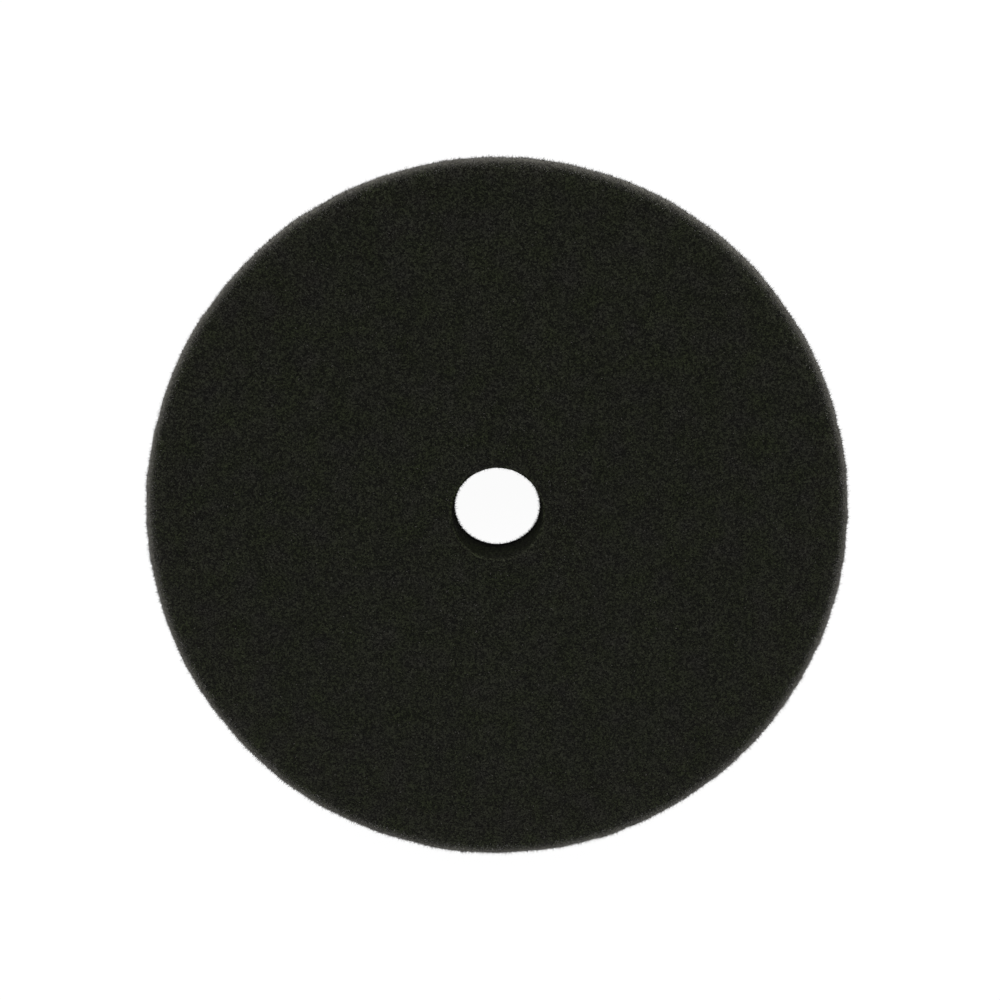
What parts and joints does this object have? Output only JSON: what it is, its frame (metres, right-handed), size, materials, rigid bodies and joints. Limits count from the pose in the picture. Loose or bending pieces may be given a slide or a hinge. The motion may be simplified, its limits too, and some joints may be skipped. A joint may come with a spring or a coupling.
{
  "type": "polishing pad",
  "caption": "Flat round open-cell foam pad with a centre hole and a hook-and-loop back, for a car polisher's backing plate.",
  "frame": {"origin": "centre of the loop side, on the plane that lies against the backing plate or the bench", "axes": "+Z along the centre hole, out of the foam's working face; the pad is round, so +X and +Y are any two directions across it"},
  "size_m": [0.15, 0.15, 0.03],
  "materials": {
    "foam": "soft open-cell polyurethane foam, near black, matte and finely pored",
    "adhesive": "cured hot-melt adhesive film, dark, only its cut edge shows",
    "backing_knit": "black warp-knitted polyester ground cloth",
    "loop_yarn": "black brushed nylon loop pile with a slight sheen"
  },
  "bodies": {
    "root": {"foam_disc": "foam", "adhesive_film": "adhesive", "backing_cloth": "backing_knit", "loop_pile": "loop_yarn"}
  },
  "joints": []
}
